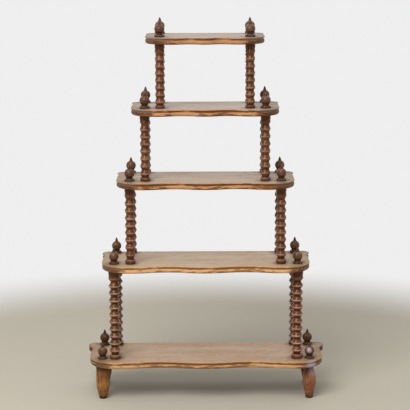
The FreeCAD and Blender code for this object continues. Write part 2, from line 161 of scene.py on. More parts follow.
def add(tree, kind, inputs=None, **settings):
    """Adds one node to a material: its settings, and its inputs as values, as links, or as other nodes,
    of which it takes the first output."""
    node = tree.nodes.new("ShaderNode" + kind)
    for key, value in settings.items():
        setattr(node, key, value)
    for socket, value in (inputs or {}).items():
        if isinstance(value, bpy.types.Node):
            value = value.outputs[0]
        if isinstance(value, bpy.types.NodeSocket):
            tree.links.new(value, node.inputs[socket])
        else:
            node.inputs[socket].default_value = value
    return node


FACTOR, FIRST, SECOND, MIXED = 0, 6, 7, 2      # sockets of a colour mix


def laid_over(tree, wood, coats):
    """A colour with others laid over it in turn, each as much as its amount says."""
    for amount, coat in coats:
        mix = add(tree, "Mix", {FACTOR: amount, FIRST: wood, SECOND: coat}, data_type="RGBA")
        wood = mix.outputs[MIXED]
    return wood


def with_painted_sheen(tree, wood, patches):
    """A painted reflection: a pale lilac-grey sheen over the wood round the sheen spots, in a broken edge.
    """
    sheen = add(tree, "Attribute", attribute_name="painted_sheen").outputs["Fac"]
    sheen = add(tree, "Math", {0: patches, 1: 0.5, 2: sheen}, operation="MULTIPLY_ADD")
    sheen = add(tree, "MapRange", {"Value": sheen, "From Min": 0.5, "From Max": 1.1, "To Max": 0.78})
    return laid_over(tree, wood, [(sheen, colour("#b5a3ad"))])


RING_STRETCH = 0.06         # how much slower year rings change along a piece than across it
WAVE_TURN = 20              # radians that a wave pattern turns in each unit of its scale


def turned_finish(name, dark, middle, light, rubbed_highlight, grime_and_shade, roughness, darkening):
    """Turned beech, stained and French polished long ago: fibres run up the piece, year rings cut by the
    turning show as bows, dirt sits in the hollows with painted shade under a board above, and hands have
    rubbed the ridges pale under a painted highlight."""
    material, tree = new_finish(name)
    blank = add(tree, "Attribute", attribute_name="blank").outputs["Vector"]
    dirt_and_shade, rub_and_highlight, tone = (
        add(tree, "Attribute", attribute_name=key).outputs["Fac"] for key in ("dirt_and_shade", "rub_and_highlight", "tone"))

    # Sizes in millimetres, across, through and along the piece. Real fibres are finer than 1.5 mm, which
    # is as fine as shows.
    noise = {}
    for key, size, detail in (
            ("fibres", (1.5, 1.5, 30), 3),
            ("streaks", (5, 5, 80), 2),
            ("patches", (30, 30, 30), 3),
            ("drift", (250, 250, 50), 2),
            ("dents", (6, 6, 6), 1)):
        place = add(tree, "Mapping", {"Vector": blank, "Scale": marks_of(size)})
        noise[key] = add(tree, "TexNoise", {"Vector": place, "Scale": 1, "Detail": detail})
    patches = noise["patches"]

    # Year rings 5 mm apart round the heart of the tree.
    place = add(tree, "Mapping", {"Vector": blank, "Scale": (1, 1, RING_STRETCH)})
    rings = add(tree, "TexWave", {
        "Vector": place, "Scale": 2 * math.pi / WAVE_TURN * marks_of(5), "Distortion": 5,
        "Detail": 2, "Detail Scale": 0.35,
    }, wave_type="RINGS", rings_direction="Z").outputs["Fac"]
    figure = add(tree, "Math", {0: noise["streaks"], 1: rings}, operation="MULTIPLY")
    figure = add(tree, "MapRange", {"Value": figure, "From Min": 0.05, "From Max": 0.5})
    pale_fibre = add(tree, "MapRange", {"Value": noise["fibres"], "From Min": 0.5, "From Max": 0.8})

    # The ridges are rubbed and take a painted highlight, broken up by the patches; dirt and old polish are
    # left in the hollows, with painted shade just under a board above.
    rub_highlight_where = add(tree, "MapRange", {
        "Value": patches, "From Min": 0.38, "From Max": 0.62, "To Min": 0.3})
    rubbed_and_highlighted = add(tree, "Math", {0: rub_and_highlight, 1: rub_highlight_where}, operation="MULTIPLY")
    dirt_and_shade_mask = add(tree, "Math", {0: patches, 1: 0.6, 2: dirt_and_shade}, operation="MULTIPLY_ADD")
    dirt_and_shade_mask = add(tree, "MapRange", {"Value": dirt_and_shade_mask, "From Min": 0.3, "From Max": 1.0, "To Max": darkening})
    wood = laid_over(tree, colour(dark), [
        (figure, colour(middle)), (pale_fibre, colour(light)), (rubbed_and_highlighted, colour(rubbed_highlight)),
        (dirt_and_shade_mask, colour(grime_and_shade))])

    wood = drifted(tree, wood, noise["drift"], tone)
    # A painted reflection: a pale lilac sheen where the sheen spots are.
    wood = with_painted_sheen(tree, wood, patches)

    uneven_polish = add(tree, "MapRange", {
        "Value": patches, "From Min": 0.3, "From Max": 0.7,
        "To Min": roughness - 0.07, "To Max": roughness + 0.1})
    dull = add(tree, "Math", {0: dirt_and_shade_mask, 1: 0.25, 2: uneven_polish}, operation="MULTIPLY_ADD")

    # Tool marks 1.6 mm apart, open fibres, and shallow dents.
    height = add(tree, "SeparateXYZ", {0: blank}).outputs[2]
    marks = add(tree, "Math", {0: height, 1: 2 * math.pi * marks_of(1.6)}, operation="MULTIPLY")
    marks = add(tree, "Math", {0: marks}, operation="SINE")
    relief = add(tree, "Math", {0: marks, 1: 0.04, 2: noise["fibres"]}, operation="MULTIPLY_ADD")
    relief = add(tree, "Math", {0: noise["dents"], 1: 1.4, 2: relief}, operation="MULTIPLY_ADD")
    bump = add(tree, "Bump", {"Height": relief, "Strength": 0.5, "Distance": 0.4 * MM})

    shader = add(tree, "BsdfPrincipled", {
        "Base Color": wood, "Roughness": dull, "Normal": bump,
        "IOR": 1.42, "Specular Tint": colour("#e8bc96"),
    })
    add(tree, "OutputMaterial", {0: shader})
    return material


def drifted(tree, wood, drift, tone):
    """The stain as each piece took it, and as it changes along a piece over 50 mm: redder or more olive,
    and paler or darker. A hue of 0.5 leaves the colour as it is."""
    shift = add(tree, "SeparateColor", {0: drift.outputs["Color"]})
    hue = add(tree, "MapRange", {
        "Value": shift, "From Min": 0.35, "From Max": 0.65, "To Min": 0.502, "To Max": 0.52})
    hue = add(tree, "Math", {0: tone, 1: -0.022, 2: hue}, operation="MULTIPLY_ADD")
    level = add(tree, "MapRange", {
        "Value": shift.outputs[1], "From Min": 0.35, "From Max": 0.65, "To Min": 0.84, "To Max": 1.16})
    return add(tree, "HueSaturation", {"Hue": hue, "Value": level, "Color": wood})


def board_finish(name, board):
    """Hardwood board, planed and once varnished: its top dry and bleached with long streaks, dark old
    varnish under the lip, and the nose of the front edge rubbed through to bare orange-brown wood."""
    material, tree = new_finish(name)
    shade = {key: colour(code) for key, code in BOARD_SHADES[board].items()}
    place = add(tree, "TexCoord").outputs["Object"]
    x, y = add(tree, "SeparateXYZ", {0: place}).outputs[:2]
    edge = add(tree, "Attribute", attribute_name="edge").outputs["Vector"]
    depth, inset = add(tree, "SeparateXYZ", {0: edge}).outputs[1:]
    varnish, ends = (
        add(tree, "Attribute", attribute_name=key).outputs["Fac"] for key in ("varnish", "ends"))

    # Sizes in millimetres. On the flat they are along, across and through the board, each board cut from
    # another place. On the moulded edge they follow its curves: along, down, and in from the edge. Real
    # fibres are finer, and these are as fine as shows.
    flat = add(tree, "Mapping", {"Vector": place, "Location": (0.37 * board, 0.11 * board, 0)})
    noise = {}
    for key, where, size, start, inputs in (
            ("streaks", flat, (60, 3, 3), 0, {"Detail": 3}),
            ("bands", flat, (300, 20, 20), 0, {"Detail": 2, "Distortion": 0.4}),
            ("fibres", flat, (25, 1, 1), 0, {"Detail": 2}),
            ("patches", flat, (110, 110, 110), 0, {"Detail": 4}),
            ("mottle", flat, (22, 22, 22), 0, {"Detail": 4, "Roughness": 0.6}),
            ("rubs", edge, (37, 8, 8), board, {"Detail": 3, "Roughness": 0.65}),
            ("grain", edge, (30, 1.5, 1.5), board, {"Detail": 2})):
        marks = add(tree, "Mapping", {"Vector": where, "Scale": marks_of(size), "Location": (start, 0, 0)})
        noise[key] = add(tree, "TexNoise", {"Vector": marks, "Scale": 1, **inputs})
    rubs = add(tree, "MapRange", {"Value": noise["rubs"], "From Min": 0.25, "From Max": 0.75})
    band = add(tree, "MapRange", {"Value": noise["bands"], "From Min": 0.36, "From Max": 0.64})
    streak = add(tree, "MapRange", {
        "Value": noise["streaks"], "From Min": 0.54, "From Max": 0.78, "To Max": 0.55})

    near = from_turnings(tree, board, x, y)
    top = bleached_top(tree, shade, noise, rubs, band, streak, inset, ends, near)
    side = moulded_edge(tree, shade, noise["grain"], rubs, depth, varnish, ends, y)
    # The underside never saw the sun: the same grain, still brown with its first stain.
    under = laid_over(tree, colour("#5d4029"), [(band, colour("#7a583c")), (streak, colour("#4a301e"))])
    over_the_lip = add(tree, "MapRange", {"Value": depth, "From Min": 0.1 * MM, "From Max": 0.9 * MM})
    is_under = add(tree, "MapRange", {
        "Value": depth, "From Min": (THICKNESS - 0.8) * MM, "From Max": (THICKNESS - 0.1) * MM})
    wood = laid_over(tree, top, [(over_the_lip, side), (is_under, under)])
    # A painted reflection: a pale lilac sheen where the sheen spots are.
    wood = with_painted_sheen(tree, wood, noise["patches"])

    roughness = add(tree, "MapRange", {
        "Value": noise["patches"], "From Min": 0.3, "From Max": 0.7, "To Min": 0.4, "To Max": 0.58})
    relief = add(tree, "Math", {0: noise["streaks"], 1: 1.6, 2: noise["fibres"]}, operation="MULTIPLY_ADD")
    relief = add(tree, "Math", {0: rubs, 1: 2.0, 2: relief}, operation="MULTIPLY_ADD")
    bump = add(tree, "Bump", {"Height": relief, "Strength": 0.45, "Distance": 0.4 * MM})
    shader = add(tree, "BsdfPrincipled", {
        "Base Color": wood, "Roughness": roughness, "Normal": bump,
        "IOR": 1.42, "Specular Tint": colour("#eed3b8"),
    })
    add(tree, "OutputMaterial", {0: shader})
    return material


def from_turnings(tree, board, x, y):
    """How far a place on a board lies from the axis of the nearest turning. Both halves are alike."""
    right = add(tree, "Math", {0: x}, operation="ABSOLUTE")
    place = add(tree, "CombineXYZ", {0: right, 1: y})
    near = 1.0          # metres, further off than any
    for spot in column_spots(board):
        away = add(tree, "VectorMath", {0: place, 1: spot}, operation="DISTANCE").outputs["Value"]
        near = add(tree, "Math", {0: near, 1: away}, operation="MINIMUM")
    return near


def bleached_top(tree, shade, noise, rubs, band, streak, inset, ends, near):
    """The colour of a board's top: pale bands, darker streaks, warmer blotches, a rim of old varnish,
    mottling by dust, and dirt and painted shade round the turnings."""
    blotch = add(tree, "MapRange", {
        "Value": noise["patches"], "From Min": 0.5, "From Max": 0.75, "To Max": 0.45})
    # Old varnish is left in a warm rim 30 mm wide, and greyer over the rounded ends.
    rim = add(tree, "Math", {0: noise["bands"], 1: 0.02, 2: inset}, operation="MULTIPLY_ADD")
    rim = add(tree, "MapRange", {
        "Value": rim, "From Min": 0.01, "From Max": 0.05, "To Min": 0.85, "To Max": 0})
    end_rim = add(tree, "Math", {0: rubs, 1: -0.05, 2: inset}, operation="MULTIPLY_ADD")
    end_rim = add(tree, "MapRange", {
        "Value": end_rim, "From Min": -0.03, "From Max": 0.04, "To Min": 0.7, "To Max": 0})
    end_rim = add(tree, "Math", {0: end_rim, 1: ends}, operation="MULTIPLY")
    top = laid_over(tree, shade["low"], [
        (band, shade["high"]), (streak, shade["streak"]), (blotch, shade["blotch"]), (rim, shade["rim"]),
        (end_rim, shade["end_top"])])

    # Years of dust and wiping have mottled it in spots of about 20 mm, yellower or pinker.
    mottle = add(tree, "SeparateColor", {0: noise["mottle"].outputs["Color"]})
    hue, strength, level = (
        add(tree, "MapRange", {
            "Value": part, "From Min": 0.3, "From Max": 0.7, "To Min": low, "To Max": high})
        for part, (low, high) in zip(mottle.outputs, ((0.482, 0.518), (0.8, 1.2), (0.91, 1.09))))
    top = add(tree, "HueSaturation", {"Hue": hue, "Saturation": strength, "Value": level, "Color": top})

    # A ring of dirt, unfaded stain and painted shade round the foot of each turning.
    near = add(tree, "Math", {0: noise["patches"], 1: 0.012, 2: near}, operation="MULTIPLY_ADD")
    ring = add(tree, "MapRange", {
        "Value": near, "From Min": 0.022, "From Max": 0.05, "To Min": 0.68, "To Max": 0})
    return laid_over(tree, top, [(ring, shade["end"])])


def moulded_edge(tree, shade, grain, rubs, depth, varnish, ends, y):
    """The colour of a board's edge: varnish is left in dark patches where the moulding shelters it, and
    bare wood shows elsewhere."""
    bare = add(tree, "MapRange", {"Value": grain, "From Min": 0.35, "From Max": 0.65})
    left_on = add(tree, "Math", {0: rubs, 1: varnish}, operation="ADD")
    left_on = add(tree, "MapRange", {"Value": left_on, "From Min": 0.92, "From Max": 1.08})
    # Round the ends the lip and cove have dried grey-brown, and the nose keeps its dark finish.
    on_nose = add(tree, "Math", {0: rubs, 1: 0.008, 2: depth}, operation="MULTIPLY_ADD")
    on_nose = add(tree, "MapRange", {"Value": on_nose, "From Min": 0.011, "From Max": 0.017})
    end_wood = laid_over(tree, shade["end_top"], [(on_nose, shade["end"])])
    end_kept = add(tree, "MapRange", {
        "Value": rubs, "From Min": 0.3, "From Max": 0.7, "To Min": 0.6, "To Max": 1.0})
    end_kept = add(tree, "Math", {0: ends, 1: end_kept}, operation="MULTIPLY")
    # Painted shade: the sides of the ears at the back are darkened, and on the lowest board are nearly
    # black.
    ear_shade = add(tree, "MapRange", {"Value": y, "From Min": 0.07, "From Max": 0.09})
    ear_shade = add(tree, "Math", {0: ends, 1: ear_shade}, operation="MULTIPLY")
    return laid_over(tree, shade["nose_low"], [
        (bare, shade["nose_high"]), (left_on, shade["cove"]), (end_kept, end_wood), (ear_shade, shade["ear"])])


# ---------------------------------------------------------------- the boards

BOARD_DEPTH = 285.0
THICKNESS = 24.0
HALF_WIDTHS = {1: 430.5, 2: 381.0, 3: 324.0, 4: 267.5, 5: 214.0}
EAR_REACHES = {1: 16.0, 2: 8.0, 3: 4.0, 4: 3.0, 5: 1.0}         # how far the ears stand out at the ends
CORNER, SHOULDER, WAIST, EAR = 98.0, 80.0, 90.0, 34.0           # radii of the outline's arcs
WAVE_DEPTH, WAIST_DEPTH = 18.0, 3.0
EAR_SETBACK = 28.0          # how far the middle of an ear lies in front of the back edge
TOP_RINGS = (80, 55, 38, 25, 16, 10, 6, 3.5, 1.8)      # insets of the flat rings drawn on the top
UNDER_RINGS = (9.4, 12, 20, 40)                        # and on the underside
NOSE_INSET = 9.0            # inset of the underside's edge, where the nose ends
PLAN_INSET = 5.0            # rings that lie further in than this shrink towards the board's spine
SPINE_END = 130.0           # how far the spine stops before each end
REAR_POINTS = 82            # points along the plain back edge
WORN_PLACES = 26            # along each board
WORN_INSET = 4.0            # the moulding wears where its inset is less than this
WEAR_DEPTH, UNEVEN_DEPTH = 0.5, 0.12    # deepest wear of the moulding, and its unevenness
WEAR_DRAW = (1, 0.4)        # how much of both draws the outline in along x and y
END_WEAR_SPARED = 0.6       # share of the wear that the sheltered ends are spared
VARNISH_WORN, VARNISH_AT_ENDS = 0.36, 0.15      # varnish lost by full wear, and kept more round the ends
END_RAMP = 48.0             # the finish of the ends begins at the corner and is full this far on
# How much dark varnish the moulding keeps at each depth below the top: lip, cove, nose, underside.
VARNISH_DEPTHS = (0, 0.6, 1.4, 3.2, 3.6, 9.2, 10.2, 12, 16, 24)
VARNISH_LEFT = (0.55, 0.75, 0.83, 0.87, 0.95, 0.93, 0.65, 0.51, 0.61, 0.9)
# Colours of each board. On top, bands from low to high, then streaks, blotches, the rim, and its ends.
# Below, bare wood from nose_low to nose_high under old varnish, the cove's colour. Round the ends, the lip
# and cove take end_top, the nose takes end, and so does the ring of dirt and painted shade round the
# turnings. The sides of the ears take ear, a painted shade.
BOARD_SHADES = {
    1: dict(low="#a68a70", high="#b99c81", streak="#90735a", blotch="#b59071", rim="#bf966c",
            end_top="#785d3c", end="#66442c", ear="#432a19",
            cove="#8c5f38", nose_low="#b68453", nose_high="#d3a678"),
    2: dict(low="#b19a82", high="#c2aa91", streak="#9b836b", blotch="#bc9a7e", rim="#c59f76",
            end_top="#866e4f", end="#5c3a24", ear="#5c3a24",
            cove="#9a6838", nose_low="#c48f5c", nose_high="#dcb082"),
    3: dict(low="#ac9783", high="#bea893", streak="#94816c", blotch="#b49983", rim="#ba9572",
            end_top="#826d54", end="#57321e", ear="#57321e",
            cove="#784825", nose_low="#a8744a", nose_high="#c09266"),
    4: dict(low="#ae9e8f", high="#c1afa1", streak="#978577", blotch="#b7a08f", rim="#b69579",
            end_top="#837160", end="#512e1b", ear="#512e1b",
            cove="#784826", nose_low="#a8744b", nose_high="#b88a61"),
    5: dict(low="#a19184", high="#b0a194", streak="#8c7c6d", blotch="#a79484", rim="#a5866f",
            end_top="#806f5e", end="#52311e", ear="#52311e",
            cove="#7b4d2d", nose_low="#a06f48", nose_high="#af835c"),
}


def column_spots(board):
    """Where turnings stand on the right half of a board, front and rear, in metres."""
    kinds = ("finial", "post") if board in TIERS else ("finial",)
    middles = [middle_of(f"{kind}_{board}_{row}_right") for kind in kinds for row in ROWS]
    return [(middle.x, middle.y, 0) for middle in middles]


def half_plan(half_width, reach, inset):
    """The right half of a board's outline from the middle of its front edge to the back corner, drawn
    inwards by an inset: crest, hollow and crest of one wave, big corner, straight end, shoulder, waist
    and ear, all arcs that meet without a kink. Millimetres."""
    front, back = -BOARD_DEPTH / 2, BOARD_DEPTH / 2
    half = (half_width - CORNER) / 2
    wave = (half**2 + WAVE_DEPTH**2) / (4 * WAVE_DEPTH)
    sway = math.asin(half / (2 * wave))
    ear = np.array([half_width + reach - EAR, back - EAR_SETBACK])
    turn_in = math.sqrt((WAIST_DEPTH + reach) * (2 * (EAR + WAIST) - WAIST_DEPTH - reach))
    turn_out = math.sqrt(WAIST_DEPTH * (2 * (SHOULDER + WAIST) - WAIST_DEPTH))
    waist = np.array([half_width - WAIST_DEPTH + WAIST, ear[1] - turn_in])
    shoulder = np.array([half_width - SHOULDER, waist[1] - turn_out])
    shoulder_turn = math.atan2(*(waist - shoulder)[::-1])
    ear_turn = math.atan2(*(waist - ear)[::-1])
    ear_end = math.asin(EAR_SETBACK / (EAR - inset))
    right = math.pi / 2
    arcs = [                # middle, radius, first and last angle, number of points
        ((0, front + wave), wave - inset, -right, sway - right, 30),
        ((half, front + WAVE_DEPTH - wave), wave + inset, right + sway, right - sway, 60),
        ((2 * half, front + wave), wave - inset, -right - sway, -right, 30),
        ((2 * half, front + CORNER), CORNER - inset, -right, 0, 60),
        (shoulder, SHOULDER - inset, 0, shoulder_turn, 12),
        (waist, WAIST + inset, shoulder_turn + math.pi, ear_turn + math.pi, 24),
        (ear, EAR - inset, ear_turn, ear_end, 28),
    ]
    runs = []
    for middle, radius, first, last, count in arcs:
        turn = np.linspace(first, last, count)
        runs.append(np.asarray(middle) + radius * np.stack([np.cos(turn), np.sin(turn)], 1))
    # Arcs that meet share a point, and the straight end lies between the corner and the shoulder.
    runs[1:4] = [run[1:] for run in runs[1:4]]
    runs[5:] = [run[1:] for run in runs[5:]]
    return np.concatenate(runs)


def whole_plan(half_width, reach, inset, back_inset):
    """A board's whole outline, from the left back corner round the front, drawn in by an inset, and by
    another at the plain back edge. What is over 5 mm is a straight move towards the board's spine."""
    right = half_plan(half_width, reach, min(inset, PLAN_INSET))
    left = right[:0:-1] * (-1, 1)
    span = np.concatenate([[0.997], np.linspace(0.985, -0.985, REAR_POINTS - 2), [-0.997]])
    rear_y = BOARD_DEPTH / 2 - min(back_inset, PLAN_INSET)
    rear = np.stack([right[-1, 0] * span, np.full(REAR_POINTS, rear_y)], 1)
    ring = np.concatenate([left, right, rear])
    if inset > PLAN_INSET:
        spine = half_width - SPINE_END
        way = np.stack([np.clip(ring[:, 0], -spine, spine), 0 * ring[:, 1]], 1) - ring
        extra = np.full(len(ring), inset - PLAN_INSET)
        extra[-REAR_POINTS:] = max(back_inset - PLAN_INSET, 0)
        ring = ring + way / np.linalg.norm(way, axis=1, keepdims=True) * extra[:, None]
    return ring


def edge_profile():
    """The moulding from the top down, as inset and depth in millimetres: rounded lip, cove, and nose with
    a small round above and a large one below. The last number is the inset at the plain back edge."""
    quarter = np.linspace(0, math.pi / 2, 7)
    sine, rest = np.sin(quarter), 1 - np.cos(quarter)
    lip = np.stack([1.4 * (1 - sine), 1.4 * rest, 1.4 * (1 - sine)], 1)
    wall = [(0, 2.2), (0, 3.2), (0.25, 3.5), (1.5, 3.5)]
    cove = list(zip(1.5 + 3.5 * sine, 3.5 + 3.5 * rest))[1:]
    rise = [(5, 8.2), (4.9, 9.3), (4.0, 9.5)]
    nose_top = list(zip(1 + 3 * (1 - sine), 9.5 + 3 * rest))[1:]
    flank = [(1, 14.2), (1, 16)]
    nose_low = list(zip(1 + 8 * rest, 16 + 8 * sine))[1:]
    lower = np.array([(*spot, 0) for spot in wall + cove + rise + nose_top + flank + nose_low])
    return np.concatenate([lip, lower])


def wear_along(along, rng):
    """How worn a board is along its outline, from 0 to 1: soft bumps 60 to 200 mm long."""
    worn = np.zeros(len(along))
    for _ in range(WORN_PLACES):
        middle, reach = rng.uniform(0, along[-1]), rng.uniform(25, 90)
        worn += rng.uniform(0.2, 0.8) * np.exp(-0.5 * ((along - middle) / reach) ** 2)
    return np.clip(worn - 0.15, 0, 1)


def board_piece(node, board, material):
    """A board: its outline is carried round the moulding's profile, so each profile point is a copy of
    the outline drawn in by its inset and lowered by its depth. Flat rings of ever larger insets carry on
    over the top and the underside, and one face closes each. Wear draws the lip and nose in a little.

    edge is the place along, below and in from the edge, in metres, varnish how much of it is kept, ends is 1
    round the ends, and bloom says where a painted sheen lies."""
    half_width, reach = HALF_WIDTHS[board], EAR_REACHES[board]
    rng = np.random.default_rng(500 + board)
    over = [(inset, 0, inset) for inset in TOP_RINGS]
    under = [(inset, THICKNESS, inset - NOSE_INSET) for inset in UNDER_RINGS]
    profile = np.concatenate([over, edge_profile(), under])
    outline = whole_plan(half_width, reach, 0, 0)
    along = distance_along(outline)
    rows, count = len(profile), len(along)

    # The rubbed part is mostly at the front. The ends are sheltered, and the back isn't moulded.
    worn = wear_along(along, rng)
    on_end = np.clip((np.abs(outline[:, 0]) - (half_width - CORNER)) / END_RAMP, 0, 1)
    ends = on_end * on_end * (3 - 2 * on_end)
    moulded = np.arange(count) < count - REAR_POINTS
    worn = np.where(moulded, worn * (1 - END_WEAR_SPARED * ends), 0)
    rings = []
    for inset, depth, back_inset in profile:
        ring = whole_plan(half_width, reach, inset, back_inset)
        if 0 < depth < THICKNESS and inset < WORN_INSET:
            nick = WEAR_DEPTH * worn + UNEVEN_DEPTH * uneven(along, rng)
            ring = ring * (1 - (nick * moulded / half_width)[:, None] * WEAR_DRAW)
        rings.append(np.concatenate([ring, np.full((count, 1), -depth)], 1))
    number, beside = round_grid(rows, count)
    quads = np.stack([number[:-1], number[1:], beside[1:], beside[:-1]], 2).reshape(-1, 4)
    caps = [number[:1], number[-1:, ::-1]]
    sheltered = np.interp(profile[:, 1], VARNISH_DEPTHS, VARNISH_LEFT)[:, None]
    kept = sheltered - VARNISH_WORN * worn + VARNISH_AT_ENDS * ends
    middle = middle_of(node)
    points = np.concatenate(rings) * MM + [middle.x, middle.y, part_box(node)[1].z]
    values = {
        "edge": np.stack([
            np.tile(along, rows), np.repeat(profile[:, 1], count), np.repeat(profile[:, 0], count)], 1) * MM,
        "varnish": kept.ravel(),
        "ends": np.tile(ends, rows),
        "painted_sheen": painted_sheen(points),
    }
    mesh_piece(f"moulded_{node}", node, points, [quads, *caps], values, material)


# ---------------------------------------------------------------- the turnings

SPIGOT = 8.0
LOWER_SPIGOT = 14.0         # length of a post's bottom spigot
UPPER_SPIGOT = 36.0         # length of the spigot through a board into a finial
OVAL = 0.006                # share of its radius by which a turning has shrunk oval
MEAN_REACH = 6.0            # over which a turning's mean radius is taken
FULL_HOLLOW = 2.6           # how far below the mean a hollow is full of dirt
RUB_AND_HIGHLIGHT_FROM, RUB_AND_HIGHLIGHT_TO = 0.6, 3.0             # how far above the mean a ridge is rubbed and given a painted highlight, first and fully
FOOT_DARK_REACH, BOARD_SHADE_REACH = 14.0, 22.0      # reach of the darkening above a piece's foot, and of the painted shade under a board

# Posts, with the dirt all over them, and how red each is: front left, front right, rear left, rear right.
POSTS = {
    1: dict(beads=10, ridge=21.0, valley=12.5, base=16.5, neck=3.5, cap=43.5,
            soil=0.02, tones=(0.3, 0.8, 0.1, 0.3)),
    2: dict(beads=8, ridge=18.5, valley=12.8, base=17.5, neck=5.0, cap=43.5,
            soil=0.0, tones=(0.65, 0.55, 0.7, 0.4)),
    3: dict(beads=7, ridge=17.8, valley=12.8, base=14.0, neck=1.8, cap=36.0,
            soil=-0.02, tones=(0.5, 0.5, 0.5, 0.6)),
    4: dict(beads=7, ridge=17.4, valley=12.7, base=11.5, neck=1.2, cap=40.0,
            soil=0.09, tones=(0.55, 0.7, 0.4, 0.7)),
}

# Dirt over a whole finial: most are rubbed clean, and two have stayed dark.
CLEAN_FINIAL = -0.25
SOILED_FINIALS = {"finial_1_rear_left": 0.75, "finial_4_rear_right": 0.2}

# How much the beads, the hollows between them and the finials' balls differ by hand, as a normal spread.
BEAD_SWELL, BEAD_RISE, HOLLOW_SWELL, BALL_SWELL = 0.18, 0.5, 0.12, 0.15
RIDGE_PLACE = 0.43          # where the ridge of a bead lies in its pitch, from below
BALL_RADIUS, BALL_MIDDLE = 18.2, 28.0

# Feet: radius and height at marks up the belly, radius at the top, and heights of the fine rings.
FEET = {
    "left": dict(marks=[(13.5, 0), (17, 13), (20, 25), (23, 37), (24.9, 49), (25.3, 60), (25, 90)],
                 top=24.9, rings=(30,)),
    "right": dict(marks=[(13.8, 0), (16.4, 18), (19, 30), (21.4, 42), (24.6, 53), (25.6, 66), (25.3, 78),
                         (22.6, 90), (18.7, 101), (15.8, 112)],
                  top=15.5, rings=(19, 31)),
}
FOOT_SOIL, FOOT_TONE = 0.1, 0.5
RING_DEPTH, RING_REACH = 1.3, 0.9
TOE_HEIGHT, TOE_INSET = 3.0, 2.6        # the rounded toe


def cut_line(corners, step=0.8):
    """A turner's outline: corners (radius, height) or (radius, height, rounding) in millimetres joined
    by straight cuts, each rounded corner a parabola that touches both cuts, then walked in even steps.
    A rounding takes no more than 0.48 of a cut, so that two of them never meet."""
    spots = np.array([corner[:2] for corner in corners], float)
    share = np.linspace(0, 1, 7)[:, None]
    runs = [spots[:1]]
    for index in range(1, len(corners) - 1):
        here = spots[index]
        if len(corners[index]) < 3:
            runs.append(here[None])
            continue
        back, ahead = spots[index - 1] - here, spots[index + 1] - here
        lengths = np.linalg.norm(back), np.linalg.norm(ahead)
        reach = [min(corners[index][2], 0.48 * length) for length in lengths]
        enter, leave = here + back * reach[0] / lengths[0], here + ahead * reach[1] / lengths[1]
        runs.append((1 - share) ** 2 * enter + 2 * share * (1 - share) * here + share**2 * leave)
    runs.append(spots[-1:])
    line = np.concatenate(runs)
    travelled = distance_along(line)
    count = max(2, int(travelled[-1] / step))
    marks = np.unique(np.concatenate([np.linspace(0, travelled[-1], count), travelled]))
    return np.stack([np.interp(marks, travelled, line[:, 0]), np.interp(marks, travelled, line[:, 1])], 1)


def post_line(tier, length, rng):
    """The cut of a bobbin post: base ring, neck, a row of double cones with soft ridges, tall cap."""
    post = POSTS[tier]
    ridge, valley = post["ridge"], post["valley"]
    row_low = post["base"] + post["neck"]
    row_high = length - post["cap"]
    pitch = (row_high - row_low) / post["beads"]
    corners = [
        (0, -LOWER_SPIGOT), (SPIGOT, -LOWER_SPIGOT, 0.8), (SPIGOT, 0),
        (ridge - 0.8, 0, 2), (ridge + 0.5, post["base"] * 0.45, 7), (ridge - 0.6, post["base"], 4.5),
        (valley + 0.3, post["base"], 2),
    ]
    for bead in range(post["beads"]):
        foot = row_low + bead * pitch
        swell = rng.normal(0, BEAD_SWELL)
        rise = rng.normal(0, BEAD_RISE)
        corners += [
            (valley + rng.normal(0, HOLLOW_SWELL), foot, 0.9),
            (ridge + 0.5 + swell, foot + RIDGE_PLACE * pitch + rise, 2.2),
        ]
    corners += [
        (valley, row_high, 0.9), (ridge + 0.4, row_high + 12, 2.4), (ridge - 1.4, length - 16.6, 1.2),
        (ridge, length - 15.4, 1.6), (ridge + 0.2, length - 6, 4), (ridge, length, 1.0),
        (SPIGOT, length), (SPIGOT, length + UPPER_SPIGOT, 0.8), (0, length + UPPER_SPIGOT),
    ]
    return cut_line(corners)


def finial_line(rng):
    """The cut of a finial: ring, neck, ball and spike, with the socket bored up its middle."""
    ball = BALL_RADIUS + rng.normal(0, BALL_SWELL)
    neck, spike = 12.2, 6.4
    turn = np.linspace(-math.acos(neck / ball), math.acos(spike / ball), 40)
    ball_arc = np.stack([ball * np.cos(turn), BALL_MIDDLE + ball * np.sin(turn)], 1)
    foot = cut_line([
        (0, 13), (8.1, 13), (8.1, 0, 0.6), (18.2, 0, 1.6), (18.8, 4.2, 5), (18.2, 8.5, 2.6),
        (12.6, 8.6, 2.5), (neck, 11, 2.0), tuple(ball_arc[0]),
    ])
    tip = cut_line([
        tuple(ball_arc[-1]), (5.6, 46.0, 2.0), (4.7, 52, 4), (1.2, 59.2, 1), (0, 60)])
    return np.concatenate([foot, ball_arc[1:-1], tip])


def foot_line(side, height):
    """The cut of a foot: rounded toe, long swelling belly, one or two fine rings, and the top spigot."""
    foot = FEET[side]
    marks = np.array(foot["marks"] + [(foot["top"], height)], float)
    heights = np.linspace(0, height, 260)
    radius = soft_line(marks[:, 1], marks[:, 0], heights)
    for ring in foot["rings"]:
        radius -= RING_DEPTH * np.exp(-0.5 * ((heights - ring) / RING_REACH) ** 2)
    toe = np.clip((TOE_HEIGHT - heights) / TOE_HEIGHT, 0, 1)
    radius -= TOE_INSET * (1 - np.sqrt(1 - toe**2))
    belly = np.stack([radius, heights], 1)
    top = cut_line([tuple(belly[-1]), (SPIGOT, height), (SPIGOT, height + UPPER_SPIGOT, 0.8),
                    (0, height + UPPER_SPIGOT)])
    return np.concatenate([[[0, 0]], belly[:-1], top])


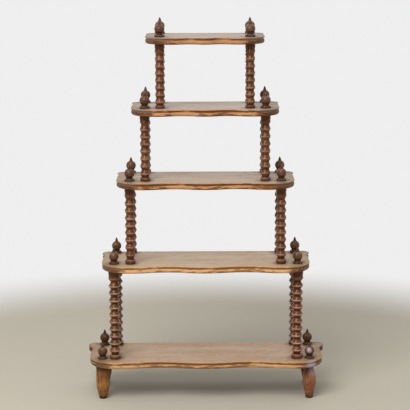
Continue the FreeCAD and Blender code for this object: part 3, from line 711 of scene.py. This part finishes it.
def lathe(line, around, oval_turn):
    """The outline carried round an upright axis: x = r cos a, y = r sin a, z = height, where the radius r
    changes twice in a turn, as old wood shrinks slightly oval. Either end closes at a point on the axis.
    Gives points in metres, and faces."""
    radius, height = line[1:-1, 0], line[1:-1, 1]
    angle = np.arange(around) * 2 * math.pi / around
    oval = 1 + OVAL * np.cos(2 * (angle - oval_turn))
    shell = radius[:, None] * oval[None] * MM
    grid = np.stack([
        shell * np.cos(angle), shell * np.sin(angle), np.repeat(height[:, None] * MM, around, 1)], 2)
    low_end, high_end = line[[0, -1], 1] * MM
    points = np.concatenate([grid.reshape(-1, 3), [[0, 0, low_end], [0, 0, high_end]]])
    number, beside = round_grid(len(radius), around)
    quads = np.stack([number[:-1], beside[:-1], beside[1:], number[1:]], 2).reshape(-1, 4)
    bottom = np.stack([beside[0], number[0], np.full(around, number.size)], 1)
    top = np.stack([number[-1], beside[-1], np.full(around, number.size + 1)], 1)
    return points, [quads, bottom, top]


def place_in_blank(points, rng):
    """Where each point lies in the wood that its piece was turned from, in metres from the tree's heart:
    turned any way round, leaning a little, with the heart off its axis, and cut from anywhere along."""
    turn, lean = rng.uniform(0, 2 * math.pi), rng.normal(0, 0.02, 2)
    turning = np.array([[math.cos(turn), -math.sin(turn)], [math.sin(turn), math.cos(turn)]])
    heart = [rng.uniform(0.012, 0.045), 0]
    across = points[:, :2] @ turning + points[:, 2:] * lean + heart
    return np.concatenate([across, points[:, 2:] + rng.uniform(0, 5)], 1)


def turned(node, line, base, material, rng, tone, soil, board_above=math.inf, around=48):
    """A turned piece on its node's upright axis, with height 0 of its outline at base, in metres.

    hollow and rub say how far the radius lies below or above its mean within a few millimetres. Each piece
    is also darker just above its foot, hollow holds painted shade just below a board above it, rub lays a
    painted highlight on the ridges, and soil lies all over.
    blank is the place in the wood that the piece was turned from, tone how red the stain came out, and bloom
    where a painted sheen lies."""
    radius, height = line[1:-1, 0], line[1:-1, 1]
    mean = smoothed(radius, distance_along(line[1:-1]), MEAN_REACH)
    # Darker just above each piece's foot, and painted shade just below a board above it.
    darkened_ends = np.exp(-((height / FOOT_DARK_REACH) ** 2)) + np.exp(-(((height - board_above) / BOARD_SHADE_REACH) ** 2))
    dirt_and_shade = np.clip((mean - radius) / FULL_HOLLOW, 0, 1) + soil + 0.5 * darkened_ends
    # Rubbed ridges, which also take a painted highlight.
    rub_and_highlight = np.clip((radius - mean - RUB_AND_HIGHLIGHT_FROM) / (RUB_AND_HIGHLIGHT_TO - RUB_AND_HIGHLIGHT_FROM), 0, 1)
    rub_and_highlight = rub_and_highlight * (1 - 0.8 * np.minimum(darkened_ends, 1))

    def spread(values):
        return np.concatenate([np.repeat(values, around), values[[0, -1]]])

    local, faces = lathe(line, around, rng.uniform(0, math.pi))
    blank = place_in_blank(local, rng)
    middle = middle_of(node)
    points = local + [middle.x, middle.y, base]
    values = {
        "dirt_and_shade": spread(dirt_and_shade),
        "rub_and_highlight": spread(rub_and_highlight),
        "tone": np.full(len(points), tone),
        "blank": blank,
        "painted_sheen": painted_sheen(points),
    }
    mesh_piece(f"turned_{node}", node, points, faces, values, material)


# ---------------------------------------------------------------- the etagere

# Red-brown in the hollows, with ridges rubbed pale and a painted highlight on them.
post_wood = turned_finish(
    "stained_and_polished_beech", dark="#41220e", middle="#70452b", light="#8f6347", rubbed_highlight="#e8c8b4",
    grime_and_shade="#371605", roughness=0.22, darkening=0.88)
# A nearly black stain under a thick polish, with small sharp highlights.
finial_wood = turned_finish(
    "dark_stained_and_polished_beech", dark="#281912", middle="#4c3326", light="#6b4a37", rubbed_highlight="#a87d62",
    grime_and_shade="#1f100a", roughness=0.15, darkening=0.6)
# Walnut stain worn to a yellow brown, with its polish half gone and broad soft highlights.
left_foot_wood = turned_finish(
    "worn_walnut_stained_beech", dark="#744822", middle="#a06c3c", light="#c4935e", rubbed_highlight="#cf9f6a",
    grime_and_shade="#251305", roughness=0.34, darkening=0.95)
# A redder stain that has kept more of its polish, and shines more.
right_foot_wood = turned_finish(
    "polished_red_stained_beech", dark="#70432c", middle="#9f6744", light="#bd8c66", rubbed_highlight="#d8a98a",
    grime_and_shade="#2a130b", roughness=0.26, darkening=0.95)

for board in BOARDS:
    board_piece(f"shelf_{board}", board, board_finish(f"dry_varnished_board_{board}", board))
    for place, (row, side) in enumerate(PLACES):
        node = f"finial_{board}_{row}_{side}"
        rng = np.random.default_rng(100 + board * 10 + place)
        line, tone = finial_line(rng), rng.uniform(0.2, 0.9)
        turned(node, line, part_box(node)[0].z, finial_wood, rng, tone,
               SOILED_FINIALS.get(node, CLEAN_FINIAL))

for place, (row, side) in enumerate(PLACES):
    for tier in TIERS:
        node = f"post_{tier}_{row}_{side}"
        low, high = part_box(node)
        length = (high.z - low.z) / MM - LOWER_SPIGOT - UPPER_SPIGOT
        rng = np.random.default_rng(200 + tier * 10 + place)
        turned(node, post_line(tier, length, rng), low.z + LOWER_SPIGOT * MM, post_wood, rng,
               POSTS[tier]["tones"][place], POSTS[tier]["soil"], board_above=length)
    node = f"foot_{row}_{side}"
    low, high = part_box(node)
    height = (high.z - low.z) / MM - UPPER_SPIGOT
    finish = left_foot_wood if side == "left" else right_foot_wood
    turned(node, foot_line(side, height), low.z, finish, np.random.default_rng(300 + place),
           FOOT_TONE, FOOT_SOIL, board_above=height, around=64)

# ---------------------------------------------------------------- floor, light and camera


def floor(reach=4.0):
    """A pale matt floor, square, that fades out evenly into the white behind it."""
    mesh = bpy.data.meshes.new("floor")
    corners = [(-reach, -reach, 0), (reach, -reach, 0), (reach, reach, 0), (-reach, reach, 0)]
    mesh.from_pydata(corners, [], [(0, 1, 2, 3)])
    material, tree = new_finish("pale_floor")
    place = add(tree, "TexCoord").outputs["Object"]
    away = add(tree, "VectorMath", {0: place}, operation="LENGTH").outputs["Value"]
    fade = add(tree, "MapRange", {
        "Value": away, "From Min": 1.3, "From Max": 2.2}, interpolation_type="SMOOTHSTEP")
    speckle = add(tree, "TexNoise", {"Vector": place, "Scale": marks_of(4.5), "Detail": 3})
    stone = laid_over(tree, colour("#b3ac9b"), [(speckle, colour("#c6bfae"))])
    matt = add(tree, "BsdfPrincipled", {"Base Color": stone, "Roughness": 0.85})
    clear = add(tree, "BsdfTransparent")
    both = add(tree, "MixShader", {0: fade, 1: matt, 2: clear})
    add(tree, "OutputMaterial", {0: both})
    mesh.materials.append(material)
    ground = bpy.data.objects.new("floor", mesh)
    bpy.context.scene.collection.objects.link(ground)


def softbox(name, place, target, width, depth, watts):
    """A flat rectangular lamp that faces its target."""
    data = bpy.data.lights.new(name, "AREA")
    data.shape = "RECTANGLE"
    data.size, data.size_y, data.energy = width, depth, watts
    lamp = bpy.data.objects.new(name, data)
    lamp.rotation_mode = "QUATERNION"
    lamp.rotation_quaternion = (Vector(target) - Vector(place)).to_track_quat("-Z", "Y")
    lamp.location = place
    bpy.context.scene.collection.objects.link(lamp)


def white_room(lit=0.6, shown=0.86):
    """White light from all round, shown brighter behind the object and in its gloss than it lights."""
    world = bpy.data.worlds.new("room_light")
    world.use_nodes = True
    tree = world.node_tree
    tree.nodes.clear()
    rays = add(tree, "LightPath").outputs
    seen = add(tree, "Math", {0: rays["Is Camera Ray"], 1: rays["Is Glossy Ray"]}, operation="MAXIMUM")
    seen = add(tree, "Math", {0: seen, 1: rays["Is Transmission Ray"]}, operation="MAXIMUM")
    level = add(tree, "MapRange", {"Value": seen, "To Min": lit, "To Max": shown})
    shade = add(tree, "Background", {"Color": colour("#ffffff"), "Strength": level})
    add(tree, "OutputWorld", {0: shade})
    bpy.context.scene.world = world


SENSOR = 36.0                                   # millimetres
PICTURE_WIDTH, FOCAL_LENGTH = 410, 1500         # pixels
CAMERA_PLACE = (0.00195, -5.4211, 1.6882)
CAMERA_TURN, CAMERA_TILT, CAMERA_ROLL = 0.04, 79.79, -0.22      # degrees, the tilt from straight down


def eye_level_camera():
    """A camera in front of the middle, at the eye level of someone who stands, tilted down a little."""
    data = bpy.data.cameras.new("camera")
    data.sensor_width = SENSOR
    data.lens = SENSOR * FOCAL_LENGTH / PICTURE_WIDTH
    data.clip_end = 60
    camera = bpy.data.objects.new("camera", data)
    bpy.context.scene.collection.objects.link(camera)
    turn, tilt, roll = (
        Matrix.Rotation(math.radians(angle), 4, axis)
        for angle, axis in ((CAMERA_TURN, "Z"), (CAMERA_TILT, "X"), (CAMERA_ROLL, "Z")))
    camera.matrix_world = Matrix.Translation(CAMERA_PLACE) @ turn @ tilt @ roll
    bpy.context.scene.camera = camera


floor()
softbox("key_softbox", (-1.1, -2.8, 3.3), target=(0, 0, 0.7), width=2.4, depth=2.0, watts=138)
white_room()
eye_level_camera()
bpy.context.scene.view_settings.view_transform = "Standard"
